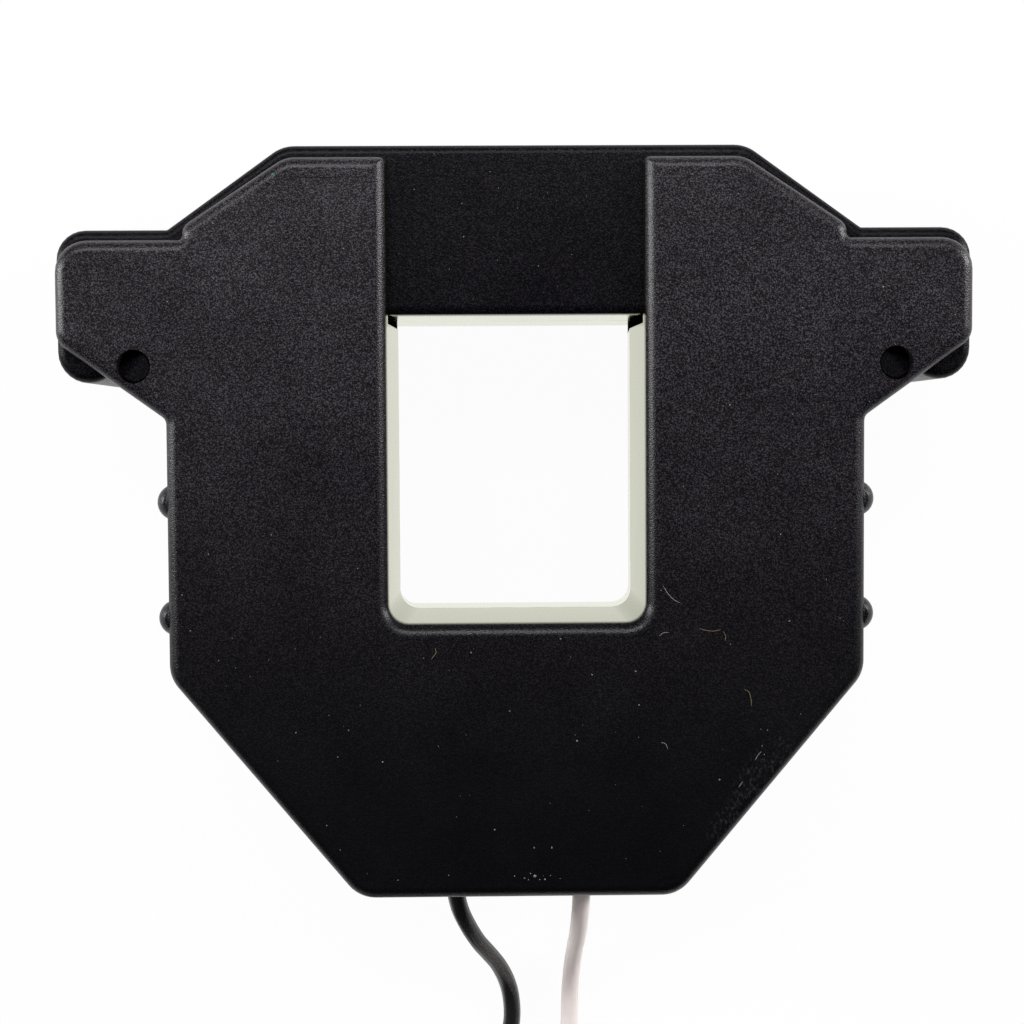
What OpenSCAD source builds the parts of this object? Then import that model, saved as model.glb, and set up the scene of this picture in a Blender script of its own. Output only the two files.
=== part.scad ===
// Split-core current transformer with an opening leg, lying on its back:
// +X across the housing, +Y toward the opening leg, +Z toward the front face.

/* [Window] */
// Clear width of the window at the parting plane
window_w = 32; // [24:0.5:40]
// Height from the window's sill to the limb tops, at the parting plane
window_h = 38.6; // [34:0.1:48]
// How far each window wall leans back between the parting plane and a face
window_draft = 0.9; // [0:0.1:1.2]
// Corner radius at the bottom of the window
window_r = 2.6; // [2:0.1:4]

/* [Housing] */
// Wall thickness of the housing shells
wall = 2.4; // [1.6:0.1:3]
// Wall thickness between the window and the limbs
window_wall = 2; // [1.2:0.1:2.4]
// Width of the flat bottom edge, between the lower corners
bottom_w = 42.2; // [38:0.1:50]
// Height of the slanting lower corners
slant_h = 29.4; // [24:0.1:32]
// Radius of the lower corners
corner_r = 4.8; // [3:0.1:8]
// Radius of the rounded edge round each face
edge_r = 1.7; // [0.8:0.1:1.9]
// Space between a winding and the window wall
inner_gap = 0.4; // [0.2:0.1:1]
// Space between a winding and the side wall
outer_gap = 2.55; // [1:0.05:4]
// Space between a winding and the front and rear faces
face_gap = 1.4; // [0.8:0.1:3]

/* [Ears and prongs] */
// How far the ear plates stand out from the side walls
ear_reach = 14.1; // [12.5:0.1:16]
// Top edge of the ear plates above the limb tops
ear_rise = 10.9; // [9:0.1:12]
// Lower outer corner of the ear plates below the limb tops
ear_drop = 2.3; // [1:0.1:3]
// Where the underside of an ear meets the side wall, below the limb tops
ear_root_drop = 12.4; // [11.5:0.1:15]
// How far the prongs end below the top of the leg
prong_drop = 1.9; // [1.5:0.1:3]
// How far the prongs' slopes lie inside the leg's slopes
prong_inset = 1.9; // [1.2:0.1:2.4]
// Angle of the prongs' slopes below level
prong_slope = 33.5; // [31:0.1:36]
// Step between the foot of a prong's slope and its ear
notch_h = 1.7; // [1.2:0.1:2]
// Angle of the leg's sloping shoulders below level
slope = 35.6; // [33:0.1:38]
// Thickness of the ear and prong plates
plate_t = 2.8; // [2.2:0.1:3.2]

/* [Opening leg] */
// Gap between the leg and each plate
leg_side_gap = 0.3; // [0.2:0.05:0.5]
// Gap between the limb tops and the underside of the leg
leg_gap = 1.1; // [0.8:0.1:1.6]
// How far the leg's ears stand above the ear plates
leg_ear_rise = 1.6; // [1:0.1:2]
// How far the leg's ears stand out beyond the ear plates
leg_ear_out = 0.45; // [0:0.05:0.8]
// Radius of the leg's upper outer corners
leg_ear_r = 3.9; // [3:0.1:5]
// Radius of the round thumb lobe under each ear
lobe_r = 4.1; // [3.6:0.05:4.4]
// How far the thumb lobes' centres lie below the limb tops
lobe_drop = 3.4; // [3:0.1:5]
// Wall thickness of the leg shells
leg_wall = 2.2; // [1.6:0.1:2.6]
// Thickness of the web between the window and the core bar
web_t = 0.9; // [0.6:0.1:1.2]
// Radius of the rounded edge round the leg's faces
leg_edge_r = 1.3; // [0.8:0.1:1.6]
// Gap between the leg's arms and the side walls
arm_gap = 0.8; // [0.6:0.1:1.2]

/* [Pins and ear holes] */
// Distance of each pin from the side wall
pin_out = 3.85; // [3.6:0.05:4.4]
// How far the pins lie below the limb tops
pin_drop = 5.5; // [4.5:0.1:6]
// Radius of the holes in the ear plates
hole_r = 2.2; // [1.9:0.05:2.4]
// Radial clearance of a pin in its hole
pin_clearance = 0.08; // [0.04:0.01:0.1]
// How far the pin faces lie below the faces of the ear plates
pin_recess = 0.8; // [0.3:0.1:1.2]
// Radius of the boss on the leg that carries a pin
collar_r = 3.1; // [2.7:0.1:3.3]

/* [Shell fastening] */
// Radius of the half-round bosses on the side walls
boss_r = 2.4; // [1.9:0.05:2.6]
// How far the boss centres lie inside the side walls
boss_inset = 0.9; // [0.6:0.1:1.2]
// How far the upper bosses lie below the limb tops
boss_drop = 23.2; // [20:0.1:26]
// Distance between the upper and the lower bosses
boss_pitch = 15.2; // [10:0.1:17]
// Radius of the moulded pegs of the rear shell
peg_r = 1.1; // [0.8:0.05:1.3]
// Radial clearance of a peg in its socket
peg_clearance = 0.08; // [0.04:0.01:0.15]
// Length of the pegs beyond the parting plane
peg_len = 7; // [4:0.5:10]

/* [Core and windings] */
// Width of the core's limbs and yoke
core_w = 14; // [10:0.1:16]
// Stack depth of the core
core_d = 15; // [12:0.5:18]
// Distance from the window's sill down to the core's yoke
yoke_gap = 6.5; // [6:0.1:8]
// Outer corner radius of the core
core_r = 16; // [10:0.5:17]
// Height of the core bar in the leg
bar_h = 12; // [9:0.5:14]
// Air gap between the pole faces and the core bar
pole_gap = 0.1; // [0.05:0.05:0.3]
// Wall thickness of the bobbins
bobbin_wall = 1; // [0.7:0.1:1.3]
// Build-up of the copper on each bobbin
winding_t = 2; // [1:0.1:2.5]
// Thickness of the tape round a winding
tape_t = 0.2; // [0.1:0.05:0.3]
// How far a bobbin's flanges stand out from its tape
rim_t = 0.2; // [0.1:0.1:0.4]
// Clearance between the core and what fits over it
core_clearance = 0.3; // [0.2:0.05:0.4]
// Width of the pads that hold the yoke
pad_w = 36; // [30:1:40]
// Thickness of the pads that hold the yoke
pad_t = 1; // [0.6:0.1:1.4]
// Height of the leaf spring's bow, which is its room above the bar
spring_h = 7.2; // [6:0.1:9]
// Thickness of the leaf spring's strip
spring_t = 0.5; // [0.3:0.1:0.8]
// Width of the leaf spring's strip
spring_w = 8; // [6:0.5:12]
// Length of the leaf spring
spring_len = 48; // [40:1:52]

/* [Circuit board] */
// Length of the board
board_w = 30; // [28:0.5:34]
// Height of the board between its long edges
board_h = 10.5; // [9.5:0.5:12]
// Thickness of the board
board_t = 1.6; // [1:0.1:2]
// Space between the board and the yoke
board_gap = 3; // [1:0.1:4]
// Height of the posts that carry the board
board_post_h = 6.6; // [5:0.1:7.4]

/* [Leads] */
// Diameter of the two leads
lead_d = 2.5; // [2:0.1:2.8]
// Distance of the dark lead's exit to the left of the middle
dark_exit_x = 8.9; // [7:0.1:12]
// Distance of the pale lead's exit to the right of the middle
pale_exit_x = 9; // [7:0.1:12]
// Clearance round a lead in its exit hole
lead_clearance = 0.1; // [0.05:0.05:0.3]
// Diameter of the tinned conductor
conductor_d = 0.9; // [0.6:0.1:1.2]
// Mean diameter of the stored coils
coil_mean_d = 30; // [25:0.5:34]
// Width of the bundle of turns in a coil
coil_bundle_w = 10; // [7.5:0.5:12]
// Height of the bundle of turns in a coil
coil_bundle_h = 12.5; // [10:0.5:15]
// Thickness of the flat tie round a coil
tie_t = 0.6; // [0.4:0.1:0.9]
// Bared length at each lead's end
strands_len = 6; // [4:0.5:10]

/* [Hidden] */

$fn = 48;
eps = 0.01;
spare = 1;              // what a half is drawn longer before it is cut at the parting plane
fine_r = 2;             // corners from this radius up get more facets
shadow = [0.10, 0.10, 0.11];

// Layers from the middle outward: window, wall, winding, core limb, winding, wall
stack = core_clearance + bobbin_wall + winding_t + tape_t + rim_t;
window_x = window_w / 2;
core_x = window_x + window_draft + window_wall + inner_gap + stack;
core_out_x = core_x + core_w;
limb_mid_x = core_x + core_w / 2;
side_x = core_out_x + stack + outer_gap + wall;
ear_x = side_x + ear_reach;
pin_x = side_x + pin_out;
leg_ear_x = ear_x + leg_ear_out;           // outer side of the leg's ears
lobe_x = leg_ear_x - lobe_r;

// Layers from the parting plane to a face
mid_z = core_d / 2 + stack + face_gap + wall;
leg_half_d = mid_z - plate_t - leg_side_gap;
dome_z = mid_z - boss_r - 0.6;             // where a side boss starts to round off

// Layers from the bottom edge to the top of the leg, about mid-height
board_seat = 0.6;                          // the board's lower edge above the wall
base_h = wall + board_seat + board_h + board_gap + core_w + yoke_gap;
leg_h = web_t + bar_h + spring_h + leg_wall;
body_h = base_h + window_h + leg_gap + leg_h;
bottom_y = -body_h / 2;
window_bottom = -bottom_y - base_h;
limb_top = bottom_y + base_h + window_h;
leg_bottom = limb_top + leg_gap;
leg_top = leg_bottom + leg_h;
ear_top = limb_top + ear_rise;
ear_bottom = limb_top - ear_drop;
ear_root = limb_top - ear_root_drop;
prong_top = leg_top - prong_drop;
pin_y = limb_top - pin_drop;
lobe_y = limb_top - lobe_drop;
boss_heights = [limb_top - boss_drop, limb_top - boss_drop - boss_pitch];
leg_ear_top = ear_top + leg_ear_rise;
leg_shoulder = side_x - (leg_top - leg_ear_top) / tan(slope);
prong_shoulder = leg_shoulder + prong_drop / tan(slope) - prong_inset / sin(slope);

// Core
yoke_top = -window_bottom - yoke_gap;
yoke_bottom = yoke_top - core_w;
bar_bottom = leg_bottom + web_t;
pole_y = bar_bottom - pole_gap;
flange_t = 1;
bobbin_top = limb_top - wall - 0.8;
bobbin_bottom = yoke_top + 3.4;
pad_inset = 1;                             // the pads end this far inside the yoke's edges

// Board
board_y = bottom_y + wall + board_seat;    // its lower long edge
board_z = wall + board_post_h;
board_top = board_z + board_t;
post_y = board_y + 5.5;
post_r = 0.9;
winding_post_x = board_w / 2 - 1.6;
link_r = 0.3;                              // winding wire as it runs to the board

// Leads: points on the way from the exit to the coil, each [x, y, z]
coil_y = -100;
dark_coil_x = -24;
pale_coil_x = 27;
exit_in = 1.2;                             // the tubes start this far inside the wall
coil_top = tie_t + coil_bundle_h;
end_sweep = 80;                            // angle of the stretch that lies on a coil
tie_sweep = 14;
dark_route = [[-8.9, -48.3, 15], [-8.9, -50, 15], [-8.7, -52, 14.9], [-8.1, -55, 14.1],
    [-7, -58, 12.3], [-5.6, -61, 9.8], [-4.1, -63.5, 7.2], [-2.7, -66, 4.7], [-1.5, -69, 2.5],
    [-0.8, -72, 1.5], [-0.7, -75.5, 1.25], [-1.5, -79, 1.25], [-3, -82.5, 1.3],
    [-4.5, -86, 1.6], [-5.2, -90, 1.85]];
pale_route = [[9, -48.3, 15], [9, -50, 15], [9, -52, 14.8], [9, -54.5, 13.9],
    [8.9, -57, 12.3], [8.8, -59.5, 10.1], [8.6, -62, 7.5], [8.4, -64.5, 4.9], [8.2, -67, 3],
    [8, -70, 1.7], [7.9, -73, 1.3], [7.8, -76.5, 1.25], [7.8, -80, 1.25], [7.9, -83.5, 1.35],
    [8.1, -87, 1.65], [8.2, -90, 1.85]];

// ---- plane outlines: corners are [x, y, radius] and run counter-clockwise ----

function mirrored(corners) = concat(corners,
    [for (i = [len(corners) - 1:-1:0]) [-corners[i].x, corners[i].y, corners[i][2]]]);
function turn(u, v) = u.x * v.y - u.y * v.x;
function unit(v) = v / norm(v);
function xy(p) = [p.x, p.y];
function inward(a, b) = unit([a.y - b.y, b.x - a.x]);

// Corners moved inward by d, with their radii following
function inset(corners, d) = let (n = len(corners)) [for (i = [0:n - 1]) let (
    a = corners[(i + n - 1) % n], b = corners[i], c = corners[(i + 1) % n],
    m = inward(a, b), k = inward(b, c),
    p = xy(b) + d * (m + k) / (1 + m * k),
    convex = turn(xy(b) - xy(a), xy(c) - xy(b)) > 0)
    [p.x, p.y, max(0.1, b[2] + (convex ? -d : d))]];

// The arc that rounds corner b between its neighbours a and c
function arc(a, b, c, steps) = let (
    u = unit(xy(a) - xy(b)), v = unit(xy(c) - xy(b)), half = acos(u * v) / 2,
    centre = xy(b) + unit(u + v) * b[2] / sin(half),
    start = xy(b) + u * b[2] / tan(half) - centre,
    sweep = (turn(u, v) < 0 ? 1 : -1) * (180 - 2 * half), from = atan2(start.y, start.x))
    [for (i = [0:steps]) centre + b[2] * [cos(from + sweep * i / steps), sin(from + sweep * i / steps)]];

// Rounded outline; base holds the radii that decide how many facets a corner gets
function rounded(corners, base) = let (n = len(corners)) [for (i = [0:n - 1])
    each arc(corners[(i + n - 1) % n], corners[i], corners[(i + 1) % n], base[i][2] >= fine_r ? 7 : 3)];
function outline(corners, d = 0) = rounded(inset(corners, d), corners);

// ---- solids swept through outlines ----

// Solid through outlines of equal length, one at each height
module loft(rings, heights) {
    n = len(rings[0]);
    last = len(rings) - 1;
    points = [for (i = [0:last]) each [for (p = rings[i]) [p.x, p.y, heights[i]]]];
    sides = [for (i = [0:last - 1]) each [for (j = [0:n - 1]) let (k = (j + 1) % n)
        [i * n + j, (i + 1) * n + j, (i + 1) * n + k, i * n + k]]];
    polyhedron(points, concat([[for (j = [0:n - 1]) j]], sides,
        [[for (j = [n - 1:-1:0]) last * n + j]]), convexity = 8);
}

// Steps of a rounded edge of radius r, each [how far in, height from the face]; the last one
// runs on past the face, which cut_to_faces then trims
function rim(r, steps) = let (
    k = [for (i = [0:steps]) let (a = 90 * i / steps) [r * (1 - cos(a)), r * (sin(a) - 1)]])
    concat([for (i = [0:steps - 1]) k[i]], [k[steps] + (k[steps] - k[steps - 1]) / 2]);

// Keeps what lies between the parting plane and a face at height h
module cut_to_faces(h) {
    intersection() {
        union() children();
        block([-2 * ear_x, -body_h, 0], [2 * ear_x, body_h, h]);
    }
}

// Round cord of eight sides through a list of points
module cord(points, d) {
    sides = 8;
    last = len(points) - 1;
    way = [for (i = [0:last]) unit(points[min(i + 1, last)] - points[max(i - 1, 0)])];
    rings = [for (i = [0:last]) let (across = unit(cross(way[i], [0, 0, 1])), up = cross(across, way[i]))
        each [for (j = [0:sides - 1]) let (t = 360 * (j + 0.5) / sides)
            points[i] + d / 2 * (cos(t) * across + sin(t) * up)]];
    faces = [for (i = [0:last - 1]) each [for (j = [0:sides - 1]) let (k = (j + 1) % sides)
        [i * sides + j, i * sides + k, (i + 1) * sides + k, (i + 1) * sides + j]]];
    polyhedron(rings, concat([[for (j = [sides - 1:-1:0]) j]], faces,
        [[for (j = [0:sides - 1]) last * sides + j]]));
}

// Straight round wire between two points
module wire(from, to, r) {
    v = to - from;
    translate(from)
        rotate([0, acos(v.z / norm(v)), atan2(v.y, v.x)])
            cylinder(r = r, h = norm(v), $fn = 16);
}

module block(low, high) {
    translate(low) cube(high - low);
}

// ---- housing ----

// Corners of a body half with its ears and prongs, where the window is half_w wide
function housing_corners(half_w, sill) = let (
    notch_x = prong_shoulder + (prong_top - ear_top - notch_h) / tan(prong_slope))
    mirrored([
        [bottom_w / 2, bottom_y, corner_r],
        [side_x, bottom_y + slant_h, corner_r],
        [side_x, ear_root, 1.2],
        [ear_x, ear_bottom, 2.8],
        [ear_x, ear_top, 4.2],
        [notch_x, ear_top, 0.5],
        [notch_x, ear_top + notch_h, 2.13],
        [prong_shoulder, prong_top, 4.4],
        [half_w, prong_top, 0.8],
        [half_w, -sill, window_r]]);

// The window's half width and sill, z above the parting plane
function lip(z) = window_x + window_draft * z / mid_z;
function sill(z) = window_bottom + window_draft * 0.75 * z / mid_z;
function housing_ring(z, d) = outline(housing_corners(lip(z), sill(z)), d);

module housing_blank() {
    base = housing_ring(0, 0);
    edge = rim(edge_r, 4);
    loft(concat([base, base], [for (q = edge) housing_ring(mid_z + q[1], q[0])]),
        concat([-spare, 0], [for (q = edge) mid_z + q[1]]));
}

// Where the leg lies: above the limbs and outside them, between the plates
module leg_room() {
    low_y = ear_root - 0.4;
    far_x = ear_x + spare;
    limb = arc([-side_x, 0], [-side_x, limb_top, 1.5], [0, limb_top], 4);
    translate([0, 0, -2 * spare])
        linear_extrude(mid_z - plate_t + 2 * spare)
            polygon(concat([[-far_x, low_y], [-side_x, low_y]], limb,
                [for (i = [len(limb) - 1:-1:0]) [-limb[i].x, limb[i].y]],
                [[side_x, low_y], [far_x, low_y], [far_x, body_h], [-far_x, body_h]]));
}

// Hollow of a body half round the core, the windings and the board
module housing_hollow() {
    in_x = lip(mid_z) + window_wall;
    in_y = -sill(mid_z) - window_wall;
    slant = inset(mirrored([[bottom_w / 2, bottom_y, corner_r], [side_x, bottom_y + slant_h, corner_r],
        [side_x, limb_top, 2.5]]), wall);
    translate([0, 0, -2 * spare])
        linear_extrude(mid_z - wall + 2 * spare)
            polygon(rounded(concat([for (i = [0:2]) slant[i]], [[in_x, limb_top - wall, 0.5],
                [in_x, in_y, 1], [-in_x, in_y, 1], [-in_x, limb_top - wall, 0.5]],
                [for (i = [3:5]) slant[i]]), [for (i = [0:9]) [0, 0, i % 9 < 2 ? 3 : 0]]));
}

module pole_openings() {
    for (side = [-1, 1])
        translate([side * limb_mid_x, limb_top - wall / 2, 0])
            cube([core_w + 2 * core_clearance, 2 * wall, core_d + 2 * core_clearance], center = true);
}

module side_bosses() {
    for (side = [-1, 1], y = boss_heights)
        translate([side * (side_x - boss_inset), y, -spare])
            rotate_extrude()
                union() {
                    square([boss_r, dome_z + spare]);
                    intersection() {
                        translate([0, dome_z + spare]) circle(r = boss_r);
                        square([boss_r, mid_z]);
                    }
                }
}

module exit_channels() {
    for (x = [-dark_exit_x, pale_exit_x])
        translate([x, bottom_y - 1, 0])
            rotate([-90, 0, 0])
                cylinder(r = lead_d / 2 + lead_clearance, h = wall + 2);
}

// Ribs inside a face that carry the yoke through its pad
module yoke_ribs() {
    for (x = [-1, 0, 1] * (pad_w / 2 - 4))
        block([x - 0.8, yoke_bottom + pad_inset, core_d / 2 + pad_t],
            [x + 0.8, yoke_top - pad_inset, mid_z - wall / 2]);
}

// Half of the housing, from the parting plane at z = 0 up to its outer face
module housing_half() {
    difference() {
        cut_to_faces(mid_z) {
            difference() {
                housing_blank();
                housing_hollow();
                leg_room();
            }
            side_bosses();
            yoke_ribs();
        }
        pole_openings();
        exit_channels();
        for (side = [-1, 1])
            translate([side * pin_x, pin_y, mid_z - plate_t - 1])
                cylinder(r = hole_r, h = plate_t + 2);
    }
}

// A half drawn with its face up is put in place as the front or the rear one
module as_front() {
    translate([0, 0, mid_z]) children();
}
module as_rear() {
    translate([0, 0, mid_z]) mirror([0, 0, 1]) children();
}

module front_shell() {
    color(shadow)
        as_front()
            difference() {
                housing_half();
                for (side = [-1, 1], y = boss_heights)
                    translate([side * (side_x - boss_inset), y, -1])
                        cylinder(r = peg_r + peg_clearance, h = peg_len + 1.5);
            }
}

module rear_shell() {
    color(shadow) {
        as_rear()
            housing_half();
        for (side = [-1, 1], y = boss_heights)
            translate([side * (side_x - boss_inset), y, mid_z - 3])
                cylinder(r = peg_r, h = peg_len + 3);
        // posts under the board
        for (x = [-1, 1] * (board_w / 2 - 2), y = [board_y + 1.5, board_y + board_h - 1.5])
            translate([x, y, wall - eps])
                cylinder(r = 1.2, h = board_z - wall + eps, $fn = 24);
    }
}

// ---- core, windings and board ----

module core_u() {
    color("slategray")
        block_core();
}
module block_core() {
    translate([0, 0, mid_z - core_d / 2])
        linear_extrude(core_d)
            polygon(outline([[core_out_x, yoke_bottom, core_r], [core_out_x, pole_y, 0.2],
                [core_x, pole_y, 0.2], [core_x, yoke_top, 2], [-core_x, yoke_top, 2],
                [-core_x, pole_y, 0.2], [-core_out_x, pole_y, 0.2],
                [-core_out_x, yoke_bottom, core_r]]));
}

// Rectangular sleeve round a limb, grown by out from the core's surface, from y0 to y1
module sleeve(side, out, y0, y1) {
    w = core_w + 2 * out;
    d = core_d + 2 * out;
    translate([side * limb_mid_x - w / 2, y0, mid_z - d / 2])
        cube([w, y1 - y0, d]);
}

module bobbin(side) {
    tube = core_clearance + bobbin_wall;
    rim = stack;
    color("ivory")
        difference() {
            union() {
                sleeve(side, tube, bobbin_bottom, bobbin_top);
                sleeve(side, rim, bobbin_bottom, bobbin_bottom + flange_t);
                sleeve(side, rim, bobbin_top - flange_t, bobbin_top);
            }
            sleeve(side, core_clearance, bobbin_bottom - 1, bobbin_top + 1);
        }
}

module wrap(side, inner, outer) {
    difference() {
        sleeve(side, outer, bobbin_bottom + flange_t, bobbin_top - flange_t);
        sleeve(side, inner, bobbin_bottom, bobbin_top);
    }
}
module winding(side) {
    tube = core_clearance + bobbin_wall;
    color("chocolate")
        wrap(side, tube, tube + winding_t);
}
module winding_tape(side) {
    under = core_clearance + bobbin_wall + winding_t;
    color("gold")
        wrap(side, under, under + tape_t);
}

module bobbin_left() { bobbin(-1); }
module bobbin_right() { bobbin(1); }
module winding_left() { winding(-1); }
module winding_right() { winding(1); }
module winding_tape_left() { winding_tape(-1); }
module winding_tape_right() { winding_tape(1); }

module core_pad(z) {
    color("dimgray")
        block([-pad_w / 2, yoke_bottom + pad_inset, z], [pad_w / 2, yoke_top - pad_inset, z + pad_t]);
}
module core_pad_front() { core_pad(mid_z + core_d / 2); }
module core_pad_rear() { core_pad(mid_z - core_d / 2 - pad_t); }

module circuit_board() {
    color("darkgreen")
        block([-board_w / 2, board_y, board_z], [board_w / 2, board_y + board_h, board_top]);
}

module burden_resistor() {
    r = 1.25;
    color("tan") {
        translate([-3.5, board_y + 8, board_top + r])
            rotate([0, 90, 0])
                cylinder(r = r, h = 7, $fn = 24);
        for (x = [-5.5, 5.5])
            wire([x, board_y + 8, board_top], [x, board_y + 8, board_top + r + 0.25], 0.25);
        wire([-5.5, board_y + 8, board_top + r], [5.5, board_y + 8, board_top + r], 0.25);
    }
}

module clamp_diodes() {
    color("black")
        for (x = [-3, 3])
            block([x - 2.1, board_y + 2, board_top], [x + 2.1, board_y + 4.6, board_top + 2]);
}

// Two posts for the leads, two for the windings
post_xs = [-dark_exit_x, pale_exit_x];
module solder_posts() {
    color("silver") {
        for (x = post_xs)
            translate([x, post_y, board_top])
                cylinder(r = post_r, h = mid_z - board_top + 1, $fn = 24);
        for (x = [-winding_post_x, winding_post_x])
            translate([x, post_y, board_top])
                cylinder(r = 0.7, h = 2.2, $fn = 24);
    }
}

// Each winding's end runs from its bobbin's lower flange to a post on the board
module winding_leads() {
    flange_y = bobbin_bottom;
    color("sienna")
        for (side = [-1, 1]) {
            outer = core_d / 2 + core_clearance + bobbin_wall + 0.9;
            low_z = mid_z - outer;
            wire([side * core_x, flange_y, low_z], [side * core_x, yoke_bottom - 1.2, low_z], link_r);
            wire([side * core_x, yoke_bottom - 1.2, low_z],
                [side * (winding_post_x + 0.9), post_y, board_top + 1.2], link_r);
        }
}

// Insulated end of a lead inside the housing, with its bared conductor on the post
module lead_tail(x) {
    translate([x, 0, mid_z])
        rotate([-90, 0, 0]) {
            translate([0, 0, bottom_y + exit_in])
                cylinder(d = lead_d, h = wall + 1.4 - exit_in, $fn = 24);
            translate([0, 0, bottom_y + wall + 1.4])
                cylinder(d = conductor_d, h = post_y - post_r - bottom_y - wall - 1.4, $fn = 24);
        }
}
module lead_tail_dark() { color("black") lead_tail(-dark_exit_x); }
module lead_tail_pale() { color("mistyrose") lead_tail(pale_exit_x); }

// ---- the free leads ----

module lead_dark() {
    color("black") {
        cord(dark_route, lead_d);
        coil_end(dark_coil_x, 1);
    }
}
module lead_pale() {
    color("mistyrose") {
        cord(pale_route, lead_d);
        coil_end(pale_coil_x, 0);
    }
}

module coil(x) {
    translate([x, coil_y, tie_t])
        rotate_extrude($fn = 64)
            translate([(coil_mean_d - coil_bundle_w) / 2, 0])
                square([coil_bundle_w, coil_bundle_h]);
}

// Last stretch of a lead, lying on top of its coil
module coil_end(x, hand) {
    translate([x, coil_y, coil_top + lead_d / 2 + eps])
        mirror([hand, 0, 0])
            rotate_extrude(angle = end_sweep, $fn = 48)
                translate([coil_mean_d / 2, 0])
                    circle(d = lead_d, $fn = 16);
}

// Bared and tinned end of the conductor, straight on from the last stretch
module strands(x, hand) {
    translate([x, coil_y, coil_top + lead_d / 2 + eps])
        mirror([hand, 0, 0])
            rotate([0, 0, end_sweep])
                translate([coil_mean_d / 2, 0, 0])
                    rotate([-90, 0, 0])
                        cylinder(d = conductor_d, h = strands_len, $fn = 24);
}

// Flat tie round the bundle on the coil's far side
module tie(x) {
    inner = (coil_mean_d - coil_bundle_w) / 2;
    translate([x, coil_y, tie_t])
        rotate([0, 0, -90 - tie_sweep / 2])
            rotate_extrude(angle = tie_sweep, $fn = 96)
                difference() {
                    translate([inner - tie_t, -tie_t])
                        square([coil_bundle_w + 2 * tie_t, coil_bundle_h + 2 * tie_t]);
                    translate([inner, 0])
                        square([coil_bundle_w, coil_bundle_h]);
                }
}
module coil_dark() { color("black") coil(dark_coil_x); }
module coil_pale() { color("mistyrose") coil(pale_coil_x); }
module tie_dark() { color("white") tie(dark_coil_x); }
module tie_pale() { color("white") tie(pale_coil_x); }
module strands_dark() { color("silver") strands(dark_coil_x, 1); }
module strands_pale() { color("silver") strands(pale_coil_x, 0); }

// ---- the opening leg ----

leg_corners = mirrored([
    [side_x + arm_gap, leg_bottom, 1],
    [side_x + arm_gap, lobe_y, 0.8],
    [lobe_x - lobe_r, lobe_y, 0.1],
    [lobe_x - lobe_r, lobe_y - lobe_r, lobe_r - eps],
    [leg_ear_x, lobe_y - lobe_r, lobe_r - eps],
    [leg_ear_x, leg_ear_top, leg_ear_r],
    [side_x, leg_ear_top, 0.6],
    [leg_shoulder, leg_top, 4.9]]);

module leg_blank() {
    base = outline(leg_corners);
    edge = rim(leg_edge_r, 3);
    cut_to_faces(leg_half_d)
        loft(concat([base], [for (q = edge) outline(leg_corners, q[0])]),
            concat([-spare], [for (q = edge) leg_half_d + q[1]]));
}

module leg_half() {
    bar_x = core_out_x + core_clearance;
    bar_half_d = core_d / 2 + core_clearance;
    roof_x = leg_shoulder - 2;
    difference() {
        union() {
            leg_blank();
            for (side = [-1, 1])
                translate([side * pin_x, pin_y, 1])
                    cylinder(r = collar_r, h = leg_half_d - 1.2);
            pins();
        }
        // room for the bar, and above it for the spring
        block([-bar_x, bar_bottom, -1], [bar_x, bar_bottom + bar_h + 0.4, bar_half_d]);
        block([-roof_x, bar_bottom + bar_h, -1], [roof_x, leg_top - leg_wall, bar_half_d]);
        // openings in the web for the poles
        for (side = [-1, 1])
            translate([side * limb_mid_x, leg_bottom, 0])
                cube([core_w + 2 * core_clearance, 3 * web_t, 2 * bar_half_d], center = true);
        // coring of the ears
        for (side = [-1, 1])
            translate([side * (pin_x + 2.4), (leg_bottom + leg_ear_top) / 2, 0])
                cube([leg_ear_x - pin_x - 0.4, leg_ear_top - leg_bottom - 3 * leg_wall / 2, 2 * bar_half_d],
                    center = true);
    }
}

// Pins with a small chamfer and a lead-in bevel on their upper outer side
module pins() {
    r = hole_r - pin_clearance;
    face = mid_z - pin_recess;
    for (side = [-1, 1])
        translate([side * pin_x, pin_y, 0])
            difference() {
                rotate_extrude()
                    polygon([[0, 2], [r, 2], [r, face - 0.25], [r - 0.25, face], [0, face]]);
                translate([0, 0, face])
                    rotate([0, 0, side > 0 ? 45 : 135])
                        rotate([0, 40, 0])
                            translate([-0.2, -3, 0])
                                cube([6, 6, 3]);
            }
}

module leg_front_shell() { color([0.13, 0.13, 0.15]) as_front() leg_half(); }
module leg_rear_shell() { color([0.13, 0.13, 0.15]) as_rear() leg_half(); }

module core_bar() {
    color("slategray")
        block([-core_out_x, bar_bottom, mid_z - core_d / 2], [core_out_x, bar_bottom + bar_h, mid_z + core_d / 2]);
}

// Bowed strip between the bar and the leg's roof
module leaf_spring() {
    half = spring_len / 2;
    big_r = (half * half + spring_h * spring_h) / (2 * spring_h);
    color("lightsteelblue")
        translate([0, leg_top - leg_wall - big_r, mid_z - spring_w / 2])
            intersection() {
                difference() {
                    cylinder(r = big_r, h = spring_w, $fn = 96);
                    translate([0, 0, -1])
                        cylinder(r = big_r - spring_t, h = spring_w + 2, $fn = 96);
                }
                translate([-half, big_r - spring_h, 0])
                    cube([2 * half, spring_h, spring_w]);
            }
}

// ---- nodes ----

front_shell();
rear_shell();
core_u();
bobbin_left();
bobbin_right();
winding_left();
winding_right();
winding_tape_left();
winding_tape_right();
core_pad_front();
core_pad_rear();
circuit_board();
burden_resistor();
clamp_diodes();
solder_posts();
winding_leads();
lead_tail_dark();
lead_tail_pale();
lead_dark();
lead_pale();
coil_dark();
coil_pale();
tie_dark();
tie_pale();
strands_dark();
strands_pale();
leg_front_shell();
leg_rear_shell();
core_bar();
leaf_spring();
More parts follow.
